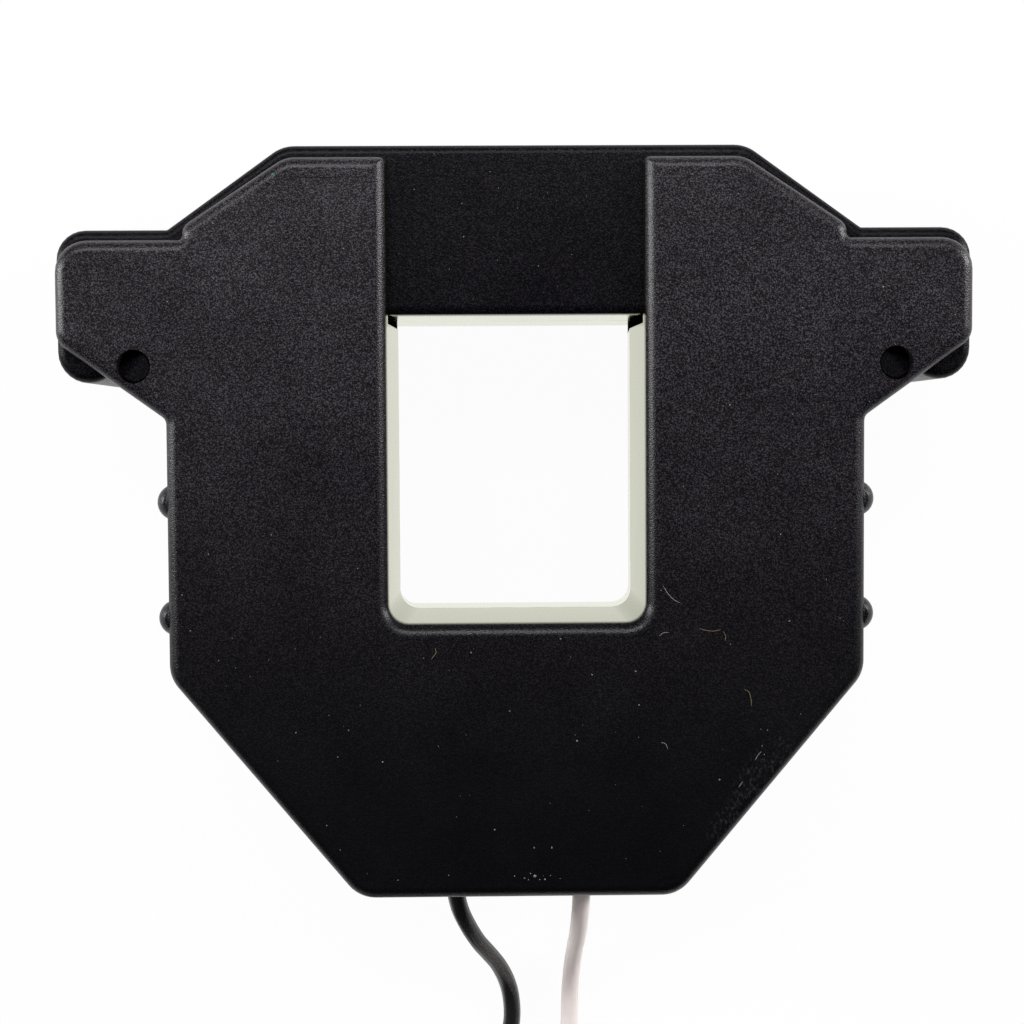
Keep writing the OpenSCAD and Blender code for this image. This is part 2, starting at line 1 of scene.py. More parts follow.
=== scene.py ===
"""Looks of a split-core current transformer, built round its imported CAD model."""

import logging
import math
from dataclasses import dataclass
from enum import Enum
from random import Random
from typing import Any, Sequence

import bmesh
import bpy
from mathutils import Matrix, Vector
from mathutils.bvhtree import BVHTree


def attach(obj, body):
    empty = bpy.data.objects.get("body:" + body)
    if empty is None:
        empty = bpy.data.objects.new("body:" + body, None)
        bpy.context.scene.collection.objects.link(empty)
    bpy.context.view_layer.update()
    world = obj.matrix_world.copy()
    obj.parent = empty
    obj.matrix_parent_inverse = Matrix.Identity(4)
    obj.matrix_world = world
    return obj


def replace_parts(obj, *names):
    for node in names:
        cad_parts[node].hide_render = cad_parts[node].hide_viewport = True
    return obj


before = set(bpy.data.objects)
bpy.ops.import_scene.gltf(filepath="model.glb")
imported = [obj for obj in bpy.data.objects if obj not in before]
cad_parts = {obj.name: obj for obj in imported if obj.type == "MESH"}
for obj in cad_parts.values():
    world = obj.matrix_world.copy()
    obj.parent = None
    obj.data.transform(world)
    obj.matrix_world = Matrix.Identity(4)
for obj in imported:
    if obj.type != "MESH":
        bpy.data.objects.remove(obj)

logging.basicConfig(level=logging.INFO, format="%(message)s")
log = logging.getLogger("current_transformer")

MM = 0.001
FULL_TURN = 360.0
Point = tuple[float, float, float]
Color = tuple[float, float, float]


class Body(Enum):
    """The two bodies of the part."""

    HOUSING = "body"
    LEG = "leg"


# ---------------------------------------------------------------- shader tools


class Signal:
    """A number on a socket, which takes part in Python expressions."""

    def __init__(self, shader: "Shader", socket: bpy.types.NodeSocket) -> None:
        """Wraps a socket of a shader.

        Args:
            shader: the material under construction.
            socket: the output that carries the number.
        """
        self.shader = shader
        self.socket = socket

    def _math(self, operation: str, first: Any, second: Any) -> "Signal":
        """Adds one Math node.

        Args:
            operation: the node's operation.
            first: left operand.
            second: right operand.

        Returns:
            The node's result.
        """
        return self.shader.node("ShaderNodeMath", {"operation": operation}, {0: first, 1: second})

    def __add__(self, other: Any) -> "Signal":
        """Self plus other."""
        return self._math("ADD", self, other)

    __radd__ = __add__

    def __sub__(self, other: Any) -> "Signal":
        """Self minus other."""
        return self._math("SUBTRACT", self, other)

    def __rsub__(self, other: Any) -> "Signal":
        """Other minus self."""
        return self._math("SUBTRACT", other, self)

    def __mul__(self, other: Any) -> "Signal":
        """Self times other."""
        return self._math("MULTIPLY", self, other)

    __rmul__ = __mul__

    def __truediv__(self, other: Any) -> "Signal":
        """Self divided by other."""
        return self._math("DIVIDE", self, other)

    def __rtruediv__(self, other: Any) -> "Signal":
        """Other divided by self."""
        return self._math("DIVIDE", other, self)

    def __gt__(self, other: Any) -> "Signal":
        """One where self is greater than other."""
        return self._math("GREATER_THAN", self, other)

    def __lt__(self, other: Any) -> "Signal":
        """One where self is less than other."""
        return self._math("LESS_THAN", self, other)

    def between(self, low: float, high: float) -> "Signal":
        """Rises smoothly from 0 at low to 1 at high.

        Args:
            low: where the result starts to rise, or to fall if high is lower.
            high: where it ends.

        Returns:
            The eased number.
        """
        flip = low > high
        eased = self.shader.node(
            "ShaderNodeMapRange",
            {"interpolation_type": "SMOOTHSTEP"},
            {"Value": self, "From Min": min(low, high), "From Max": max(low, high)},
        )
        return 1 - eased if flip else eased


class Shader:
    """A material under construction."""

    def __init__(self, name: str) -> None:
        """Starts an empty material.

        Args:
            name: the material's name.
        """
        self.material = bpy.data.materials.new(name)
        self.material.use_nodes = True
        self.tree = self.material.node_tree
        self.tree.nodes.clear()

    def make(self, kind: str, settings: dict[str, Any], inputs: dict[Any, Any]) -> bpy.types.Node:
        """Adds a node.

        Args:
            kind: the node's type.
            settings: its properties.
            inputs: values or links of its sockets, by name or number.

        Returns:
            The node.
        """
        node = self.tree.nodes.new(kind)
        for key, value in settings.items():
            setattr(node, key, value)
        for key, value in inputs.items():
            socket = node.inputs[key]
            if isinstance(value, Signal):
                self.tree.links.new(value.socket, socket)
            elif isinstance(value, bpy.types.NodeSocket):
                self.tree.links.new(value, socket)
            elif isinstance(value, tuple) and len(value) == 3 and socket.type == "RGBA":
                socket.default_value = (*value, 1)
            else:
                socket.default_value = value
        return node

    def node(
        self, kind: str, settings: dict[str, Any], inputs: dict[Any, Any], output: Any = 0
    ) -> Signal:
        """Adds a node and gives one of its outputs.

        Args:
            kind: the node's type.
            settings: its properties.
            inputs: values or links of its sockets.
            output: name or number of the output.

        Returns:
            That output.
        """
        return Signal(self, self.make(kind, settings, inputs).outputs[output])

    def place(self) -> Signal:
        """The point of the surface in the part's frame, in metres."""
        return self.node("ShaderNodeTexCoord", {}, {}, "Object")

    def axes(self) -> tuple[Signal, Signal, Signal]:
        """The point's x, y and z as numbers."""
        split = self.make("ShaderNodeSeparateXYZ", {}, {0: self.place()})
        return tuple(Signal(self, split.outputs[i]) for i in range(3))

    def stretched(self, scale: Point, turn: float = 0.0) -> Signal:
        """The point of the surface with each axis scaled.

        Args:
            scale: factor along each axis.
            turn: turn about z, in radians, before the scaling.

        Returns:
            The scaled point.
        """
        return self.node(
            "ShaderNodeMapping",
            {"vector_type": "POINT"},
            {"Vector": self.place(), "Rotation": (0, 0, turn), "Scale": scale},
        )

    def noise(
        self, size: float, detail: float = 2.0, rough: float = 0.5, vector: Signal | None = None
    ) -> Signal:
        """Soft noise between 0 and 1.

        Args:
            size: size of a feature in millimetres.
            detail: octaves.
            rough: share that each octave adds.
            vector: where to read it, or None for the surface point.

        Returns:
            The noise.
        """
        inputs = {
            "Vector": vector or self.place(),
            "Scale": 1 / (size * MM),
            "Detail": detail,
            "Roughness": rough,
        }
        return self.node("ShaderNodeTexNoise", {}, inputs)

    def specks(self, pitch: float, radius: float, share: float, seed: float) -> Signal:
        """Small round specks strewn over the surface.

        Args:
            pitch: mean distance of the cells that may hold a speck, in millimetres.
            radius: radius of a speck in millimetres.
            share: share of cells that hold one.
            seed: shifts the pattern.

        Returns:
            One on a speck, nought elsewhere, with a soft rim.
        """
        moved = self.node(
            "ShaderNodeVectorMath", {"operation": "ADD"}, {0: self.place(), 1: (seed, seed, 0)}
        )
        cells = self.make("ShaderNodeTexVoronoi", {}, {"Vector": moved, "Scale": 1 / (pitch * MM)})
        distance = Signal(self, cells.outputs["Distance"])
        luck = self.node("ShaderNodeSeparateColor", {}, {0: cells.outputs["Color"]})
        rim = radius / pitch
        core = 0.4 * rim
        return distance.between(rim, core) * (luck < share)

    def mix(self, factor: Any, first: Any, second: Any) -> bpy.types.NodeSocket:
        """Blends two colours.

        Args:
            factor: nought for the first, one for the second.
            first: a colour.
            second: a colour.

        Returns:
            The blended colour's socket.
        """
        node = self.make("ShaderNodeMix", {"data_type": "RGBA"}, {0: factor, 6: first, 7: second})
        return node.outputs[2]

    def bump(self, height: Signal, depth: float, strength: float = 1.0) -> bpy.types.NodeSocket:
        """A Bump node.

        Args:
            height: the relief between 0 and 1.
            depth: its depth in millimetres.
            strength: how strongly it shows.

        Returns:
            The bent normal's socket.
        """
        inputs = {"Height": height, "Distance": depth * MM, "Strength": strength}
        return self.make("ShaderNodeBump", {}, inputs).outputs[0]

    def principled(self, **inputs: Any) -> bpy.types.NodeSocket:
        """A Principled shader.

        Args:
            inputs: its sockets, with _ for a space.

        Returns:
            The shader's socket.
        """
        named = {key.replace("_", " "): value for key, value in inputs.items()}
        return self.make("ShaderNodeBsdfPrincipled", {}, named).outputs[0]

    def finish(self, surface: bpy.types.NodeSocket) -> bpy.types.Material:
        """Ends the material with its surface.

        Args:
            surface: the shader that it shows.

        Returns:
            The material.
        """
        self.make("ShaderNodeOutputMaterial", {}, {0: surface})
        return self.material


# -------------------------------------------------------------------- finishes


@dataclass(frozen=True)
class Scuff:
    """A rubbed spot: its middle and reach in millimetres, its lean in degrees."""

    x: float
    y: float
    reach: float
    lean: float
    strength: float

    def mask(self, x: Signal, y: Signal) -> Signal:
        """A soft streak over the spot.

        Args:
            x: the surface point's x in millimetres.
            y: the surface point's y in millimetres.

        Returns:
            The mask, at most the spot's strength.
        """
        narrowness = 6
        across = (x - self.x) / self.reach
        along = (y - self.y) / self.reach
        lean = math.radians(self.lean)
        u = across * math.cos(lean) + along * math.sin(lean)
        v = along * math.cos(lean) - across * math.sin(lean)
        return (1 - (u * u + v * v * narrowness)).between(0, 1) * self.strength


@dataclass(frozen=True)
class MouldedPlastic:
    """Black plastic from a spark-eroded mould, with dust and a little wear.

    Sizes are in millimetres. The grain's bright flecks are partly grain and partly painted
    highlights, and they are painted brighter toward high y as painted light from the top, by fade
    and least_painted_glint.
    """

    name: str
    color: Color = (0.0014, 0.0010, 0.0022)
    # colour of the grain's bright flecks: partly the grain's own tone, partly a painted highlight
    # of its sparkle
    grain_and_painted_glint: Color = (0.078, 0.067, 0.085)
    dust_color: Color = (0.20, 0.19, 0.175)
    rubbed_color: Color = (0.062, 0.060, 0.060)
    roughness: float = 0.34
    grain: float = 0.18
    relief: float = 0.05
    shine: float = 0.36
    # painted light from the top: the flecks fade from full strength at high y to a least share at
    # low y
    painted_top_light_fade: tuple[float, float] = (-41.0, 46.0)
    least_painted_glint: float = 0.03
    dust: float = 1.0
    scuffs: Sequence[Scuff] = ()

    def rubbed(self, sh: Shader) -> Signal:
        """Where the surface was rubbed.

        Args:
            sh: the material under construction.

        Returns:
            The mask.
        """
        x, y, _ = (axis / MM for axis in sh.axes())
        return sum(scuff.mask(x, y) for scuff in self.scuffs)

    def material(self) -> bpy.types.Material:
        """Builds the material."""
        sh = Shader(self.name)
        grain = sh.noise(self.grain, 0.6, 0.5)
        fine = sh.noise(self.grain * 2.2, 1.0)
        clouds = sh.noise(11.0, 3.0, 0.6)
        relief = grain * 0.75 + fine * 0.25
        peaks = grain.between(0.40, 0.84)
        _, y, _ = sh.axes()
        # painted light from the top: the flecks are painted brighter toward high y
        painted_top_light = (y / MM).between(*self.painted_top_light_fade) * (1 - self.least_painted_glint) + self.least_painted_glint
        base = sh.mix(peaks * painted_top_light * (0.5 + clouds), self.color, self.grain_and_painted_glint)
        dusty = sh.noise(21.0, 2.0).between(0.40, 0.66) + 0.25
        specks = sh.specks(1.9, 0.10, 0.07, 0.003) + sh.specks(4.2, 0.16, 0.12, 0.007)
        base = sh.mix(specks * dusty * self.dust, base, self.dust_color)
        if self.scuffs:
            scratched = sh.noise(0.35, 3.0, 0.7, sh.stretched((1, 0.6, 1), 0.8))
            base = sh.mix(self.rubbed(sh) * scratched.between(0.48, 0.80), base, self.rubbed_color)
        rough = self.roughness + (clouds - 0.5) * 0.12 + (fine - 0.5) * 0.1
        return sh.finish(
            sh.principled(
                Base_Color=base,
                Roughness=rough,
                IOR=1.5,
                Specular_IOR_Level=self.shine,
                Normal=sh.bump(relief, self.relief, 0.9),
            )
        )


@dataclass(frozen=True)
class PolishedPlastic:
    """Black plastic where the mould was polished: the window's walls, with their parting line."""

    name: str
    color: Color = (0.006, 0.007, 0.006)
    roughness: float = 0.16
    parting: float = 15.0

    def material(self) -> bpy.types.Material:
        """Builds the material."""
        sh = Shader(self.name)
        drag = sh.noise(0.5, 2.0, 0.6, sh.stretched((1, 1, 0.3)))
        clouds = sh.noise(6.0, 2.0)
        _, _, z = sh.axes()
        off = z / MM - self.parting
        seam = (off * off).between(0.012, 0.0) * sh.noise(4.0, 2.0).between(0.35, 0.6)
        base = sh.mix(clouds, tuple(c * 0.7 for c in self.color), self.color)
        return sh.finish(
            sh.principled(
                Base_Color=sh.mix(seam, base, (0.001, 0.001, 0.001)),
                Roughness=self.roughness + (clouds - 0.5) * 0.05 + (drag - 0.5) * 0.06 + seam * 0.6,
                IOR=1.5,
                Coat_Weight=0.96 - seam * 0.96,
                Coat_Roughness=0.12,
                Coat_Tint=(0.90, 0.93, 0.60),
                Normal=sh.bump(drag, 0.006, 0.6),
            )
        )


@dataclass(frozen=True)
class FlexiblePlastic:
    """Soft insulation of a lead or nylon of a tie, faintly clouded and handled."""

    name: str
    color: Color
    roughness: float = 0.35

    def material(self) -> bpy.types.Material:
        """Builds the material."""
        sh = Shader(self.name)
        clouds = sh.noise(3.0, 3.0, 0.6)
        marks = sh.noise(0.5, 2.0, 0.6)
        base = sh.mix(clouds, tuple(c * 0.86 for c in self.color), self.color)
        return sh.finish(
            sh.principled(
                Base_Color=base,
                Roughness=self.roughness + (marks - 0.5) * 0.2,
                IOR=1.5,
                Normal=sh.bump(marks, 0.01, 0.5),
            )
        )


@dataclass(frozen=True)
class Metal:
    """A bare metal with a drawn or rolled grain, laminated along z where it has a lamination."""

    name: str
    color: Color
    roughness: float = 0.3
    stretch: Point = (0.1, 1.0, 1.0)
    lamination: float = 0.0

    def material(self) -> bpy.types.Material:
        """Builds the material."""
        sh = Shader(self.name)
        rolled = sh.noise(0.35, 3.0, 0.6, sh.stretched(self.stretch))
        clouds = sh.noise(6.0, 2.0)
        tone = rolled * 0.5 + clouds * 0.5
        relief = rolled
        if self.lamination:
            depth = sh.axes()[2] / (self.lamination * MM)
            sheet = sh.node("ShaderNodeMath", {"operation": "PINGPONG"}, {0: depth, 1: 0.5})
            relief = sheet.between(0.02, 0.12) + rolled * 0.15
            tone = tone * (0.35 + 0.65 * sheet.between(0.02, 0.12))
        base = sh.mix(tone, tuple(c * 0.6 for c in self.color), self.color)
        return sh.finish(
            sh.principled(
                Base_Color=base,
                Metallic=1.0,
                Roughness=self.roughness + (tone - 0.5) * 0.2,
                Normal=sh.bump(relief, 0.03, 0.6),
            )
        )


@dataclass(frozen=True)
class WoundWire:
    """Enamelled copper wire laid turn beside turn."""

    name: str
    color: Color = (0.42, 0.13, 0.04)
    pitch: float = 0.22

    def material(self) -> bpy.types.Material:
        """Builds the material."""
        sh = Shader(self.name)
        along = sh.axes()[1] / (self.pitch * MM)
        turn = sh.node("ShaderNodeMath", {"operation": "PINGPONG"}, {0: along, 1: 0.5})
        crown = (turn * 2).between(0, 0.9)
        clouds = sh.noise(2.0, 2.0)
        # painted shade: the colour darkens to a quarter in the grooves between the turns
        base = sh.mix(crown * 0.7 + clouds * 0.3, tuple(c * 0.25 for c in self.color), self.color)
        return sh.finish(
            sh.principled(
                Base_Color=base,
                Metallic=1.0,
                Roughness=0.28 + (clouds - 0.5) * 0.1,
                Coat_Weight=0.6,
                Normal=sh.bump(crown, 0.08),
            )
        )


@dataclass(frozen=True)
class Sheeting:
    """Tape, foam, board, moulded small parts or lint: mottled, with a fine relief."""

    name: str
    color: Color
    roughness: float = 0.6
    grain: float = 0.4
    relief: float = 0.02
    second: Color | None = None

    def material(self) -> bpy.types.Material:
        """Builds the material."""
        sh = Shader(self.name)
        grain = sh.noise(self.grain, 2.0, 0.6)
        clouds = sh.noise(4.0, 2.0)
        other = self.second or tuple(c * 0.7 for c in self.color)
        base = sh.mix(grain * 0.5 + clouds * 0.5, other, self.color)
        return sh.finish(
            sh.principled(
                Base_Color=base,
                Roughness=self.roughness + (clouds - 0.5) * 0.15,
                Normal=sh.bump(grain, self.relief, 0.8),
            )
        )


# ------------------------------------------------------------------ mesh tools


def ease(value: float) -> float:
    """Smooth step from 0 to 1.

    Args:
        value: any number, clamped to 0..1.

    Returns:
        The eased number.
    """
    value = min(max(value, 0.0), 1.0)
    return value * value * (3 - 2 * value)


def catmull(points: Sequence[Vector], step: float) -> list[Vector]:
    """A smooth line through points.

    Args:
        points: the points it passes.
        step: greatest distance of its samples, in metres.

    Returns:
        The samples.
    """
    padded = [points[0] * 2 - points[1], *points, points[-1] * 2 - points[-2]]
    line: list[Vector] = []
    for i in range(1, len(padded) - 2):
        a, b, c, d = padded[i - 1 : i + 3]
        count = max(1, math.ceil((c - b).length / step))
        for j in range(count):
            t = j / count
            square = (2 * a - 5 * b + 4 * c - d) * t * t
            cube = (3 * b - 3 * c + d - a) * t**3
            line.append(0.5 * (2 * b + (c - a) * t + square + cube))
    line.append(points[-1].copy())
    return line


def run_length(line: Sequence[Vector]) -> float:
    """Length of a line.

    Args:
        line: its points.

    Returns:
        The length.
    """
    return sum((b - a).length for a, b in zip(line, line[1:]))


def add_object(
    name: str, data: bpy.types.ID, finish: bpy.types.Material, body: Body
) -> bpy.types.Object:
    """Puts a piece into the scene.

    Args:
        name: the piece's name.
        data: its mesh or curve.
        finish: its material.
        body: the body that it rides on.

    Returns:
        The piece.
    """
    piece = bpy.data.objects.new(name, data)
    bpy.context.scene.collection.objects.link(piece)
    if not data.materials:
        data.materials.append(finish)
    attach(piece, body.value)
    log.info("piece %s", name)
    return piece


def tube_curve(name: str, line: Sequence[Vector], diameter: float) -> bpy.types.Curve:
    """A round tube along a line.

    Args:
        name: the curve's name.
        line: its centre line.
        diameter: its diameter in metres.

    Returns:
        The curve.
    """
    curve = bpy.data.curves.new(name, "CURVE")
    curve.dimensions = "3D"
    curve.bevel_depth = diameter / 2
    curve.bevel_resolution = 2
    curve.use_fill_caps = True
    curve.twist_mode = "MINIMUM"
    spline = curve.splines.new("POLY")
    spline.points.add(len(line) - 1)
    for point, at in zip(spline.points, line):
        point.co = (*at, 1)
    spline.use_smooth = True
    return curve


def mesh_from(bm: bmesh.types.BMesh, name: str) -> bpy.types.Mesh:
    """Ends a bmesh.

    Args:
        bm: the bmesh, freed here.
        name: the mesh's name.

    Returns:
        The mesh.
    """
    mesh = bpy.data.meshes.new(name)
    bm.to_mesh(mesh)
    bm.free()
    return mesh


def tube_into(
    bm: bmesh.types.BMesh, line: Sequence[Vector], radius: float, sides: int = 8, taper: float = 1.0
) -> None:
    """Adds a closed tube to a bmesh.

    Args:
        bm: takes the tube.
        line: its centre line.
        radius: its radius in metres.
        sides: its sides.
        taper: share of the radius left at both ends.
    """
    rings = []
    ends = 6  # the taper takes a sixth of the line at each end
    turns = [k * math.tau / sides for k in range(sides)]
    up = Vector((0, 0, 1))
    for i, at in enumerate(line):
        along = (line[min(i + 1, len(line) - 1)] - line[max(i - 1, 0)]).normalized()
        side = along.cross(up)
        if side.length < 0.01:
            side = along.cross(Vector((1, 0, 0)))
        side.normalize()
        over = side.cross(along)
        share = i / (len(line) - 1)
        r = radius * (taper + (1 - taper) * min(1.0, ends * min(share, 1 - share)))
        rings.append(
            [bm.verts.new(at + side * (r * math.cos(t)) + over * (r * math.sin(t))) for t in turns]
        )
    for low, high in zip(rings, rings[1:]):
        for k in range(sides):
            n = (k + 1) % sides
            bm.faces.new((low[k], low[n], high[n], high[k])).smooth = True
    bm.faces.new(reversed(rings[0]))
    bm.faces.new(rings[-1])


def smooth_copy(
    node: bpy.types.Object, name: str, crease: float, weld: float = 0.002, flat: float = 0.3
) -> bpy.types.Mesh:
    """A copy of a CAD node's mesh with flat faces joined and rounded edges shaded smooth.

    Args:
        node: the CAD node.
        name: the new mesh's name.
        crease: angle in degrees from which an edge stays sharp.
        weld: distance in millimetres up to which points are joined.
        flat: angle in degrees up to which neighbouring faces are joined.

    Returns:
        The mesh.
    """
    bm = bmesh.new()
    bm.from_mesh(node.data)
    bmesh.ops.remove_doubles(bm, verts=bm.verts, dist=weld * MM)
    bmesh.ops.dissolve_limit(bm, angle_limit=math.radians(flat), verts=bm.verts, edges=bm.edges)
    bm.verts.index_update()
    mesh = bpy.data.meshes.new(name)
    mesh.from_pydata(
        [v.co.copy() for v in bm.verts], [], [[v.index for v in f.verts] for f in bm.faces]
    )
    bm.free()
    bm = bmesh.new()
    bm.from_mesh(mesh)
    for face in bm.faces:
        face.smooth = True
    for edge in bm.edges:
        edge.smooth = edge.calc_face_angle(math.pi) < math.radians(crease)
    bm.to_mesh(mesh)
    bm.free()
    helper = bpy.data.objects.new("helper", mesh)
    bpy.context.scene.collection.objects.link(helper)
    weighted = helper.modifiers.new("weighted", "WEIGHTED_NORMAL")
    weighted.keep_sharp = True
    weighted.weight = 100
    baked = bpy.data.meshes.new_from_object(
        helper.evaluated_get(bpy.context.evaluated_depsgraph_get())
    )
    baked.name = name
    bpy.data.objects.remove(helper)
    bpy.data.meshes.remove(mesh)
    return baked


# ------------------------------------------------------------------------ sets


@dataclass
class Studio:
    """Camera, lamps, table and room.

    Places are in millimetres and angles in degrees. The table shows as white but for its
    shadow_share; the room lights matt faces by room_level and glossy ones by gloss_level.
    """

    camera_at: Point = (-3.96, 11.38, 252.76)
    camera_yaw: float = -0.85
    camera_pitch: float = -2.55
    camera_roll: float = -0.34
    lens: float = 60.26
    floor_half: float = 4000.0
    floor_drop: float = 0.3
    shadow_share: float = 0.035
    room_level: float = 0.25
    gloss_level: float = 0.022

    def camera(self) -> None:
        """Makes the camera."""
        data = bpy.data.cameras.new("camera")
        data.lens = self.lens
        data.sensor_width = 36.0
        data.clip_start = 0.005
        data.clip_end = 50.0
        camera = bpy.data.objects.new("camera", data)
        bpy.context.scene.collection.objects.link(camera)
        turn = (
            Matrix.Rotation(math.radians(self.camera_yaw), 4, "Y")
            @ Matrix.Rotation(math.radians(self.camera_pitch), 4, "X")
            @ Matrix.Rotation(math.radians(self.camera_roll), 4, "Z")
        )
        camera.matrix_world = Matrix.Translation(Vector(self.camera_at) * MM) @ turn
        bpy.context.scene.camera = camera
        bpy.context.scene.view_settings.view_transform = "Standard"

    def lamp(
        self, name: str, at: Point, aim: Point, size: tuple[float, float], power: float
    ) -> None:
        """Adds a soft box.

        Args:
            name: the lamp's name.
            at: its place in millimetres.
            aim: the point that it faces.
            size: its width and height, in millimetres.
            power: its power in watts.
        """
        data = bpy.data.lights.new(name, "AREA")
        data.shape = "RECTANGLE"
        data.size, data.size_y = size[0] * MM, size[1] * MM
        data.energy = power
        lamp = bpy.data.objects.new(name, data)
        bpy.context.scene.collection.objects.link(lamp)
        way = (Vector(aim) - Vector(at)).normalized()
        lamp.rotation_euler = way.to_track_quat("-Z", "Y").to_euler()
        lamp.location = Vector(at) * MM

    def lamps(self) -> None:
        """Adds the lamps."""
        self.lamp("top_box", (-40, 330, 470), (0, 30, 20), (460, 110), 1.55)
        self.lamp("left_strip", (-560, 120, 230), (0, 0, 20), (110, 520), 3.1)
        self.lamp("right_strip", (540, 200, 230), (0, 0, 20), (90, 420), 2.8)

    def table(self) -> None:
        """Makes the white table."""
        half, low = self.floor_half * MM, -self.floor_drop * MM
        mesh = bpy.data.meshes.new("table")
        ring = [(-half, -half, low), (half, -half, low), (half, half, low), (-half, half, low)]
        mesh.from_pydata(ring, [], [(0, 1, 2, 3)])
        table = bpy.data.objects.new("table", mesh)
        bpy.context.scene.collection.objects.link(table)
        sh = Shader("table_white")
        path = sh.make("ShaderNodeLightPath", {}, {})
        rays = ("Is Camera Ray", "Is Glossy Ray", "Is Transmission Ray")
        seen = sum(Signal(sh, path.outputs[ray]) for ray in rays)
        paper = sh.make("ShaderNodeBsdfDiffuse", {}, {"Color": (0.86, 0.86, 0.86)}).outputs[0]
        white = sh.make("ShaderNodeEmission", {}, {"Color": (1, 1, 1), "Strength": 1.0}).outputs[0]
        both = sh.make(
            "ShaderNodeMixShader", {}, {0: seen * (1 - self.shadow_share), 1: paper, 2: white}
        )
        mesh.materials.append(sh.finish(both.outputs[0]))

    def room(self) -> None:
        """Makes the room, which the camera sees as white."""
        world = bpy.data.worlds.new("white_room")
        bpy.context.scene.world = world
        world.use_nodes = True
        tree = world.node_tree
        tree.nodes.clear()
        light_path = tree.nodes.new("ShaderNodeLightPath")
        unseen = tree.nodes.new("ShaderNodeMapRange")
        unseen.inputs["To Min"].default_value = self.gloss_level
        unseen.inputs["To Max"].default_value = self.room_level
        level = tree.nodes.new("ShaderNodeMapRange")
        level.inputs["To Max"].default_value = 1.0
        back = tree.nodes.new("ShaderNodeBackground")
        back.inputs["Color"].default_value = (1, 1, 1, 1)
        end = tree.nodes.new("ShaderNodeOutputWorld")
        tree.links.new(light_path.outputs["Is Diffuse Ray"], unseen.inputs["Value"])
        tree.links.new(light_path.outputs["Is Camera Ray"], level.inputs["Value"])
        tree.links.new(unseen.outputs[0], level.inputs["To Min"])
        tree.links.new(level.outputs[0], back.inputs["Strength"])
        tree.links.new(back.outputs[0], end.inputs[0])


class Hand(Enum):
    """Which way a lead's coil is wound."""

    CLOCKWISE = -1
    COUNTERCLOCKWISE = 1


@dataclass(frozen=True)
class Move:
    """A stretch of a coil's sweep, in degrees, over which the cord goes to a column and row."""

    begin: float
    end: float
    column: float
    row: float


